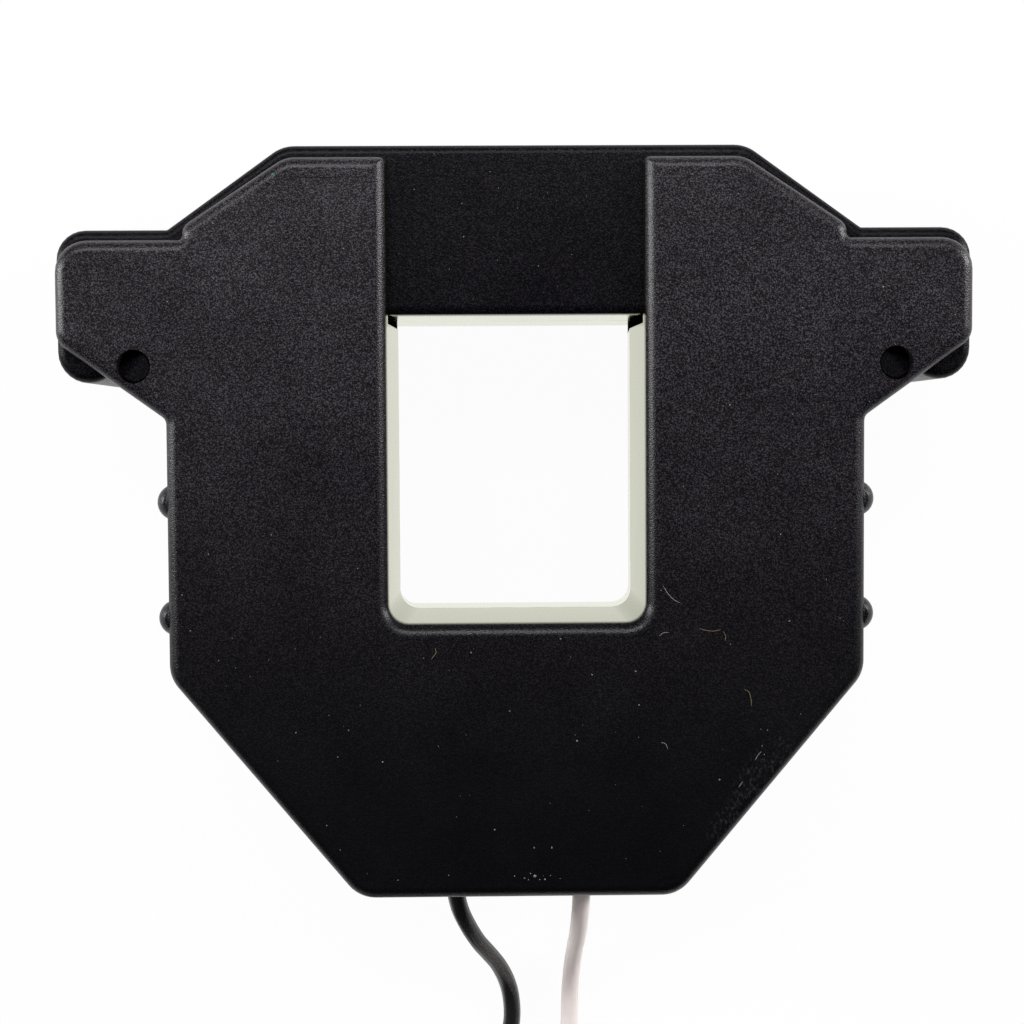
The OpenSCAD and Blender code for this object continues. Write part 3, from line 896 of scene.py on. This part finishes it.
@dataclass
class Lead:
    """One lead: its way over the table, its stored coil, its tie and its bared end.

    Sizes are in millimetres, sweeps in degrees and the strands' twist in radians. The coil's
    turns lie in columns, counted inward, and rows, counted upward. The cord crosses to the next
    one over one shift of sweep.
    """

    name: str
    route: Sequence[Point]
    centre: Point
    hand: Hand
    finish: bpy.types.Material
    tinned: bpy.types.Material
    tie_finish: bpy.types.Material
    diameter: float = 2.5
    mean_radius: float = 15.0
    column_pitch: float = 2.55
    row_pitch: float = 2.5
    last_column: int = 3
    full_rows: int = 4
    table_gap: float = 0.6
    shift: float = 72.0
    end_sweep: float = 260.0
    sweep_step: float = 7.5
    route_step: float = 0.9
    bared: float = 6.0
    strand_count: int = 7
    strand_radius: float = 0.15
    strand_twist: float = 1.7
    tie_width: float = 5.0
    tie_thickness: float = 0.6
    tie_bend: float = 1.6
    head: Point = (6.6, 2.8, 5.4)
    head_height: float = 5.6
    head_bevel: float = 0.6

    def moves(self) -> list[Move]:
        """Where the cord changes column or row.

        Returns:
            The moves in order of sweep.
        """
        moves: list[Move] = []
        shift, top_row = self.shift, self.full_rows
        column = 0
        start = FULL_TURN - shift
        for row in range(self.full_rows):
            inward = row % 2 == 0
            for _ in range(self.last_column):
                column += 1 if inward else -1
                moves.append(Move(start, start + shift, column, row))
                start += FULL_TURN
            start -= shift
            moves.append(Move(start, start + shift, column, row + 1))
            start += FULL_TURN - shift
        # the top row isn't full: the cord's end lies across it, one row higher
        top = moves[-1].end
        again = moves[-1].begin + FULL_TURN
        last = again + 2 * FULL_TURN - shift
        return [
            *moves,
            Move(top, top + shift, 1, top_row),
            Move(again, again + shift, 2, top_row),
            Move(again + FULL_TURN, again + FULL_TURN + shift, self.last_column, top_row),
            Move(last + 20.0, last + shift, self.last_column, top_row + 1),
            Move(last + shift, last + shift + 70.0, self.last_column / 2, top_row + 1),
        ]

    def coil_line(self) -> list[Vector]:
        """Centre line of the coil.

        Returns:
            Its points, in metres.
        """
        moves = self.moves()
        turns_end = math.floor(moves[-1].begin / FULL_TURN) * FULL_TURN + self.end_sweep
        turn = self.hand.value
        first = 0.0 if turn < 0 else FULL_TURN / 2
        middle = self.last_column / 2
        line = []
        count = round(turns_end / self.sweep_step)
        for i in range(count + 1):
            sweep = turns_end * i / count
            column, row = 0.0, 0.0
            for move in moves:
                if sweep <= move.begin:
                    break
                share = ease((sweep - move.begin) / (move.end - move.begin))
                column += (move.column - column) * share
                row += (move.row - row) * share
            radius = self.mean_radius + (middle - column) * self.column_pitch
            angle = math.radians(first + turn * sweep)
            x = self.centre[0] + radius * math.cos(angle)
            y = self.centre[1] + radius * math.sin(angle)
            z = self.table_gap + self.diameter / 2 + row * self.row_pitch
            line.append(Vector((x, y, z)) * MM)
        return line

    def line(self) -> list[Vector]:
        """The whole centre line.

        Returns:
            Its points, in metres.
        """
        coil = self.coil_line()
        bend = [Vector(p) * MM for p in self.route]
        way = catmull([*bend, coil[0]], self.route_step * MM)
        return way[:-1] + coil

    def strands(self, line: Sequence[Vector]) -> bpy.types.Object:
        """The bared end: tinned strands laid in a slight twist.

        Args:
            line: the cord's centre line.

        Returns:
            The piece.
        """
        end = line[-1]
        along = (line[-1] - line[-2]).normalized()
        along.z = 0
        along.normalize()
        side = along.cross(Vector((0, 0, 1)))
        steps = 12
        root, unevenness = 0.6, 0.12
        bm = bmesh.new()
        for i in range(self.strand_count):
            spread = 0.0 if i == 0 else 2 * self.strand_radius * MM
            path = []
            for j in range(steps + 1):
                share = j / steps
                angle = i * math.tau / (self.strand_count - 1) + share * self.strand_twist
                path.append(
                    end
                    + along * ((share * (self.bared + unevenness * (i % 3)) - root) * MM)
                    + side * (spread * math.cos(angle))
                    + Vector((0, 0, spread * math.sin(angle)))
                )
            tube_into(bm, path, self.strand_radius * MM, 8)
        mesh = mesh_from(bm, "strands")
        piece = add_object(f"{self.name}_strands", mesh, self.tinned, Body.HOUSING)
        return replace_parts(piece, f"strands_{self.name}")

    def tie_loop(self) -> list[tuple[float, float]]:
        """The middle line of the tie's band round the turns.

        Returns:
            Its points, as distance from the coil's centre and height, in millimetres.
        """
        half, bend, arc_steps = self.tie_thickness / 2, self.tie_bend, 6
        inner = self.mean_radius - 2 * self.column_pitch - half
        outer = self.mean_radius + 2 * self.column_pitch + half
        low = self.table_gap - half
        high = self.table_gap + (self.full_rows + 1) * self.row_pitch + half
        loop = []
        for k, (r, z) in enumerate(((inner, low), (outer, low), (outer, high), (inner, high))):
            centre_r = r + (bend if k in (0, 3) else -bend)
            centre_z = z + (bend if k in (0, 1) else -bend)
            for j in range(arc_steps + 1):
                angle = math.radians(180 + 90 * k + 90 * j / arc_steps)
                loop.append((centre_r + bend * math.cos(angle), centre_z + bend * math.sin(angle)))
        return loop

    def tie(self) -> bpy.types.Object:
        """The flat tie round the coil's turns, with its head.

        Returns:
            The piece.
        """
        width, thick = self.tie_width, self.tie_thickness
        x, y, _ = self.centre
        loop = self.tie_loop()
        count = len(loop)
        bm = bmesh.new()
        rings = []
        for k, (r, z) in enumerate(loop):
            before, after = loop[k - 1], loop[(k + 1) % count]
            away = Vector((after[1] - before[1], -(after[0] - before[0]))).normalized()
            ring = []
            for off, across in ((-0.5, -0.5), (0.5, -0.5), (0.5, 0.5), (-0.5, 0.5)):
                near, up = y - r - away[0] * off * thick, z + away[1] * off * thick
                ring.append(bm.verts.new(Vector((x + across * width, near, up)) * MM))
            rings.append(ring)
        for k in range(count):
            here, there = rings[k], rings[(k + 1) % count]
            for j in range(4):
                n = (j + 1) % 4
                bm.faces.new((here[j], there[j], there[n], here[n]))
        stand_off = 0.9
        head_y = y - self.mean_radius - 2 * self.column_pitch - thick - stand_off
        head_at = (x, head_y, self.head_height)
        head = bmesh.ops.create_cube(bm, size=1.0)["verts"]
        for v in head:
            v.co = Vector([m + a * size for m, a, size in zip(head_at, v.co, self.head)]) * MM
        bmesh.ops.bevel(
            bm,
            geom=[e for e in bm.edges if e.verts[0] in head],
            offset=self.head_bevel * MM,
            segments=3,
            affect="EDGES",
            clamp_overlap=True,
        )
        bmesh.ops.recalc_face_normals(bm, faces=bm.faces)
        mesh = mesh_from(bm, "tie")
        piece = add_object(f"{self.name}_tie", mesh, self.tie_finish, Body.HOUSING)
        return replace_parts(piece, f"tie_{self.name}")

    def build(self) -> None:
        """Makes the cord with the pieces on it."""
        line = self.line()
        curve = tube_curve(f"{self.name}_cord", line, self.diameter * MM)
        cord = add_object(
            f"{self.name}_cord", curve, self.finish, Body.HOUSING
        )
        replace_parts(cord, f"lead_{self.name}", f"coil_{self.name}")
        length = run_length(line)
        log.info("%s lead is %.3f m long", self.name, length)
        self.diameter * MM
        self.strands(line)
        self.tie()


@dataclass
class Shells:
    """The moulded shells of one body, shaded smooth, with polished walls in the window.

    The window is given in millimetres, as west, east, south and north of the walls' faces. A wall
    has a normal of less than steepest along z. Edges stay sharp from crease degrees.
    """

    body: Body
    nodes: Sequence[str]
    slot: str
    finish: bpy.types.Material
    polished: bpy.types.Material
    window: tuple[float, float, float, float] = (-17.6, 17.6, -13.6, 28.4)
    steepest: float = 0.5
    crease: float = 38.0

    def polish(self, mesh: bpy.types.Mesh) -> int:
        """Gives the walls of the window the polished finish.

        Args:
            mesh: a shell's mesh.

        Returns:
            How many faces it found.
        """
        west, east, south, north = self.window
        found = 0
        for face in mesh.polygons:
            x, y, _ = face.center / MM
            wall = abs(face.normal.z) <= self.steepest
            if wall and west < x < east and south < y < north:
                face.material_index = 1
                found += 1
        return found

    def build(self) -> None:
        """Makes the shells."""
        for name in self.nodes:
            mesh = smooth_copy(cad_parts[name], f"{name}_skin", self.crease)
            mesh.materials.clear()
            mesh.materials.append(self.finish)
            mesh.materials.append(self.polished)
            found = self.polish(mesh)
            piece = add_object(f"{name}_skin", mesh, self.finish, self.body)
            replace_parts(piece, name)
            log.info("%s has %d polished faces", name, found)


class Lint(Enum):
    """The dust's finishes, by their place in the mesh."""

    WHITE = 0
    STRAW = 1
    BLACK = 2
    TEAL = 3


@dataclass(frozen=True)
class Fibre:
    """A fibre lying on the front: its points and radius in millimetres."""

    way: Sequence[tuple[float, float]]
    radius: float
    lint: Lint = Lint.WHITE


@dataclass(frozen=True)
class Mark:
    """A single grain: its place and radius in millimetres."""

    x: float
    y: float
    radius: float
    lint: Lint = Lint.WHITE


@dataclass
class Dust:
    """Lint and dust that lies on the level front of one body.

    Sizes are in millimetres. Strewn grains are from smallest to smallest + spread in radius,
    within reach of the middle, and a straw_share of them is straw.
    """

    name: str
    body: Body
    slot: str
    skin: str
    count: int
    finishes: dict[Lint, bpy.types.Material]
    fibres: Sequence[Fibre] = ()
    marks: Sequence[Mark] = ()
    seed: int = 4
    reach: tuple[float, float] = (60.0, 49.0)
    drop_from: float = 40.0
    lowest: float = 25.0
    levelness: float = 0.98
    smallest: float = 0.05
    spread: float = 0.09
    straw_share: float = 0.14
    grain_sides: int = 6

    def land(self, tree: BVHTree, x: float, y: float) -> Vector | None:
        """Drops a point onto the front face.

        Args:
            tree: the skin's faces.
            x: its place in millimetres.
            y: its place in millimetres.

        Returns:
            The place on a level part of the skin, or None.
        """
        top = Vector((x, y, self.drop_from)) * MM
        at, normal, _, _ = tree.ray_cast(top, Vector((0, 0, -1)))
        level = at is not None and normal.z > self.levelness and at.z > self.lowest * MM
        return at if level else None

    def grain(self, bm: bmesh.types.BMesh, at: Vector, size: float, dice: Random) -> None:
        """Adds one grain of dust: a low uneven dome.

        Args:
            bm: takes the grain.
            at: its place.
            size: its radius in millimetres.
            dice: random numbers.
        """
        turn = dice.uniform(0, math.tau)
        ring = []
        for k in range(self.grain_sides):
            angle = turn + k * math.tau / self.grain_sides
            r = size * dice.uniform(0.55, 1.0) * MM
            ring.append(bm.verts.new(at + Vector((r * math.cos(angle), r * math.sin(angle), 0))))
        crown = bm.verts.new(at + Vector((0, 0, size * 0.5 * MM)))
        for here, there in zip(ring, ring[1:] + ring[:1]):
            bm.faces.new((here, there, crown))
        bm.faces.new(list(reversed(ring)))

    def paint(self, bm: bmesh.types.BMesh, lint: Lint) -> None:
        """Gives a finish to the faces added since the last call.

        Args:
            bm: holds the faces; those already painted carry a tag.
            lint: their finish.
        """
        for face in bm.faces:
            if not face.tag:
                face.material_index = lint.value
                face.tag = True

    def build(self) -> None:
        """Makes the piece."""
        skin = bpy.data.objects[self.skin].data
        tree = BVHTree.FromPolygons(
            [v.co.copy() for v in skin.vertices], [list(f.vertices) for f in skin.polygons]
        )
        dice = Random(self.seed)
        bm = bmesh.new()
        laid = 0
        while laid < self.count:
            x, y = (dice.uniform(-reach, reach) for reach in self.reach)
            size = self.smallest + self.spread * dice.random() ** 3
            lint = Lint.STRAW if dice.random() < self.straw_share else Lint.WHITE
            at = self.land(tree, x, y)
            if at is not None:
                self.grain(bm, at, size, dice)
                self.paint(bm, lint)
                laid += 1
        for mark in self.marks:
            at = self.land(tree, mark.x, mark.y)
            if at is not None:
                self.grain(bm, at, mark.radius, dice)
                self.paint(bm, mark.lint)
        for fibre in self.fibres:
            points = [self.land(tree, x, y) for x, y in fibre.way]
            if None not in points:
                lift = Vector((0, 0, 0.6 * fibre.radius * MM))
                line = catmull([p + lift for p in points], 0.2 * MM)
                tube_into(bm, line, fibre.radius * MM, 5, 0.4)
                self.paint(bm, fibre.lint)
        mesh = mesh_from(bm, self.name)
        for lint in Lint:
            mesh.materials.append(self.finishes[lint])
        add_object(self.name, mesh, self.finishes[Lint.WHITE], self.body)


@dataclass
class Insides:
    """The CAD nodes that keep their shape and get a finish."""

    finishes: dict[str, bpy.types.Material]

    def dress(self) -> None:
        """Gives each node its finish."""
        for name, finish in self.finishes.items():
            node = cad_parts[name]
            for place in node.material_slots:
                place.material = finish
            log.info("node %s is %s", name, finish.name)


HOUSING_SCUFFS: Sequence[Scuff] = (
    Scuff(32.0, -32.5, 7.0, 48.0, 0.55),
    Scuff(27.5, -39.0, 5.0, 50.0, 0.5),
    Scuff(-32.0, -40.0, 5.0, -48.0, 0.25),
    Scuff(50.0, 33.0, 9.0, 10.0, 0.25),
)
HOUSING_FIBRES: Sequence[Fibre] = (
    Fibre(((19.0, -8.3), (19.7, -9.4), (20.5, -10.2), (21.3, -10.6)), 0.045),
    Fibre(((18.5, -14.9), (19.0, -14.5), (19.8, -14.4)), 0.04),
    Fibre(((23.7, -13.9), (24.6, -14.2), (25.6, -14.3), (26.6, -14.1)), 0.045, Lint.STRAW),
    Fibre(((26.9, -14.3), (27.2, -15.0), (27.1, -15.6)), 0.04, Lint.STRAW),
    Fibre(((29.6, -22.0), (30.2, -22.3), (30.5, -23.2), (30.6, -24.3)), 0.04, Lint.STRAW),
    Fibre(((18.7, -28.9), (19.3, -29.1), (19.6, -29.8)), 0.04),
    Fibre(((-10.8, -16.2), (-10.7, -16.9), (-11.3, -17.7)), 0.045, Lint.STRAW),
    Fibre(((-28.9, 44.9), (-25.5, 44.75), (-22.0, 44.8), (-19.2, 44.85)), 0.05, Lint.BLACK),
    Fibre(((31.0, -31.4), (31.5, -30.6), (31.9, -30.2)), 0.04),
    Fibre(((28.9, -34.9), (29.4, -34.2)), 0.04),
)
HOUSING_MARKS: Sequence[Mark] = (
    Mark(2.0, -42.7, 0.17, Lint.STRAW), Mark(4.3, -42.7, 0.15), Mark(7.7, -28.6, 0.15),
    Mark(15.4, -19.5, 0.14), Mark(9.7, -19.9, 0.13), Mark(26.4, -33.9, 0.15),
    Mark(-31.2, 45.2, 0.17, Lint.TEAL), Mark(2.1, -46.4, 0.24), Mark(0.7, -46.7, 0.12),
    Mark(3.4, -46.9, 0.16), Mark(1.5, -46.1, 0.1), Mark(2.7, -46.9, 0.12),
    Mark(4.1, -46.4, 0.09), Mark(-0.6, -46.4, 0.1), Mark(1.2, -46.9, 0.1),
    Mark(5.4, -46.8, 0.08),
)

DARK_ROUTE: Sequence[Point] = (
    (-8.9, -48.3, 15), (-8.9, -50, 15), (-8.7, -52, 14.9), (-8.1, -55, 14.1), (-7, -58, 12.3),
    (-5.6, -61, 9.8), (-4.1, -63.5, 7.2), (-2.7, -66, 4.7), (-1.5, -69, 2.5), (-0.8, -72, 1.5),
    (-0.7, -75.5, 1.25), (-1.5, -79, 1.25), (-3, -82.5, 1.3), (-4.5, -86, 1.6), (-5.2, -90, 1.85),
)
PALE_ROUTE: Sequence[Point] = (
    (9, -48.3, 15), (9, -50, 15), (9, -52, 14.8), (9, -54.5, 13.9), (8.9, -57, 12.3),
    (8.8, -59.5, 10.1), (8.6, -62, 7.5), (8.4, -64.5, 4.9), (8.2, -67, 3), (8, -70, 1.7),
    (7.9, -73, 1.3), (7.8, -76.5, 1.25), (7.8, -80, 1.25), (7.9, -83.5, 1.35), (8.1, -87, 1.65),
    (8.2, -90, 1.85),
)


def clear_defaults() -> None:
    """Removes the start-up scene's own objects."""
    for name in ("Cube", "Light", "Camera"):
        stray = bpy.data.objects.get(name)
        if stray is not None:
            bpy.data.objects.remove(stray)


def main() -> None:
    """Builds the scene in order."""
    clear_defaults()
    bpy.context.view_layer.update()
    studio = Studio()
    studio.camera()
    tinned = Metal("tinned_wire", (0.75, 0.74, 0.72), 0.28).material()
    tie_finish = FlexiblePlastic("tie_nylon", (0.55, 0.54, 0.5), 0.45).material()
    dark = FlexiblePlastic("dark_insulation", (0.012, 0.012, 0.013), 0.3).material()
    pale = FlexiblePlastic("pale_insulation", (0.92, 0.83, 0.80), 0.4).material()
    Lead("dark", DARK_ROUTE, (-24, -100, 0), Hand.CLOCKWISE, dark, tinned, tie_finish).build()
    Lead(
        "pale", PALE_ROUTE, (27, -100, 0), Hand.COUNTERCLOCKWISE, pale, tinned, tie_finish
    ).build()
    studio.lamps()
    studio.table()
    studio.room()
    polished = PolishedPlastic("window_polish").material()
    housing = MouldedPlastic("housing_spark_black", scuffs=HOUSING_SCUFFS).material()
    # the leg's grain gets dimmer painted highlights, so its front renders darker than the housing's
    leg = MouldedPlastic(
        "leg_spark_black", grain_and_painted_glint=(0.018, 0.016, 0.0215), dust=1.6, shine=0.12
    ).material()
    fixed, moving = ("front_shell", "rear_shell"), ("leg_front_shell", "leg_rear_shell")
    Shells(Body.HOUSING, fixed, "housing_plastic", housing, polished).build()
    Shells(Body.LEG, moving, "leg_plastic", leg, polished).build()
    lint = {
        Lint.WHITE: Sheeting("lint_white", (0.24, 0.23, 0.22), 0.8, 0.1, 0.01).material(),
        Lint.STRAW: Sheeting("lint_straw", (0.17, 0.12, 0.065), 0.8, 0.1, 0.01).material(),
        Lint.BLACK: Sheeting("lint_black", (0.001, 0.001, 0.001), 0.9, 0.1, 0.01).material(),
        Lint.TEAL: Sheeting("lint_teal", (0.02, 0.28, 0.22), 0.8, 0.1, 0.01).material(),
    }
    Dust(
        "housing_lint", Body.HOUSING, "housing_plastic", "front_shell_skin", 150, lint,
        HOUSING_FIBRES, HOUSING_MARKS,
    ).build()
    Dust("leg_lint", Body.LEG, "leg_plastic", "leg_front_shell_skin", 60, lint, seed=9).build()
    steel = Metal("core_lamination", (0.42, 0.41, 0.4), 0.4, lamination=0.35).material()
    copper = WoundWire("copper_turns").material()
    bobbin = Sheeting("bobbin_nylon", (0.5, 0.46, 0.36), 0.5).material()
    tape = Sheeting("winding_tape", (0.62, 0.42, 0.06), 0.3, 1.2, 0.03).material()
    foam = Sheeting("foam_pad", (0.05, 0.05, 0.055), 0.9, 0.25, 0.15).material()
    board = Sheeting(
        "board_green", (0.02, 0.12, 0.04), 0.4, 0.5, 0.01, (0.03, 0.17, 0.06)
    ).material()
    clay = Sheeting("resistor_lacquer", (0.10, 0.30, 0.42), 0.35, 0.8, 0.02).material()
    epoxy = Sheeting("diode_epoxy", (0.02, 0.02, 0.022), 0.4, 0.3, 0.02).material()
    spring = Metal("spring_steel_strip", (0.5, 0.5, 0.52), 0.25).material()
    Insides(
        {
            "core_u": steel, "core_bar": steel, "bobbin_left": bobbin, "bobbin_right": bobbin,
            "winding_left": copper, "winding_right": copper, "winding_tape_left": tape,
            "winding_tape_right": tape, "core_pad_front": foam, "core_pad_rear": foam,
            "circuit_board": board, "burden_resistor": clay, "clamp_diodes": epoxy,
            "solder_posts": tinned, "winding_leads": copper, "lead_tail_dark": dark,
            "lead_tail_pale": pale, "leaf_spring": spring,
        }
    ).dress()


if __name__ == "__main__":
    main()
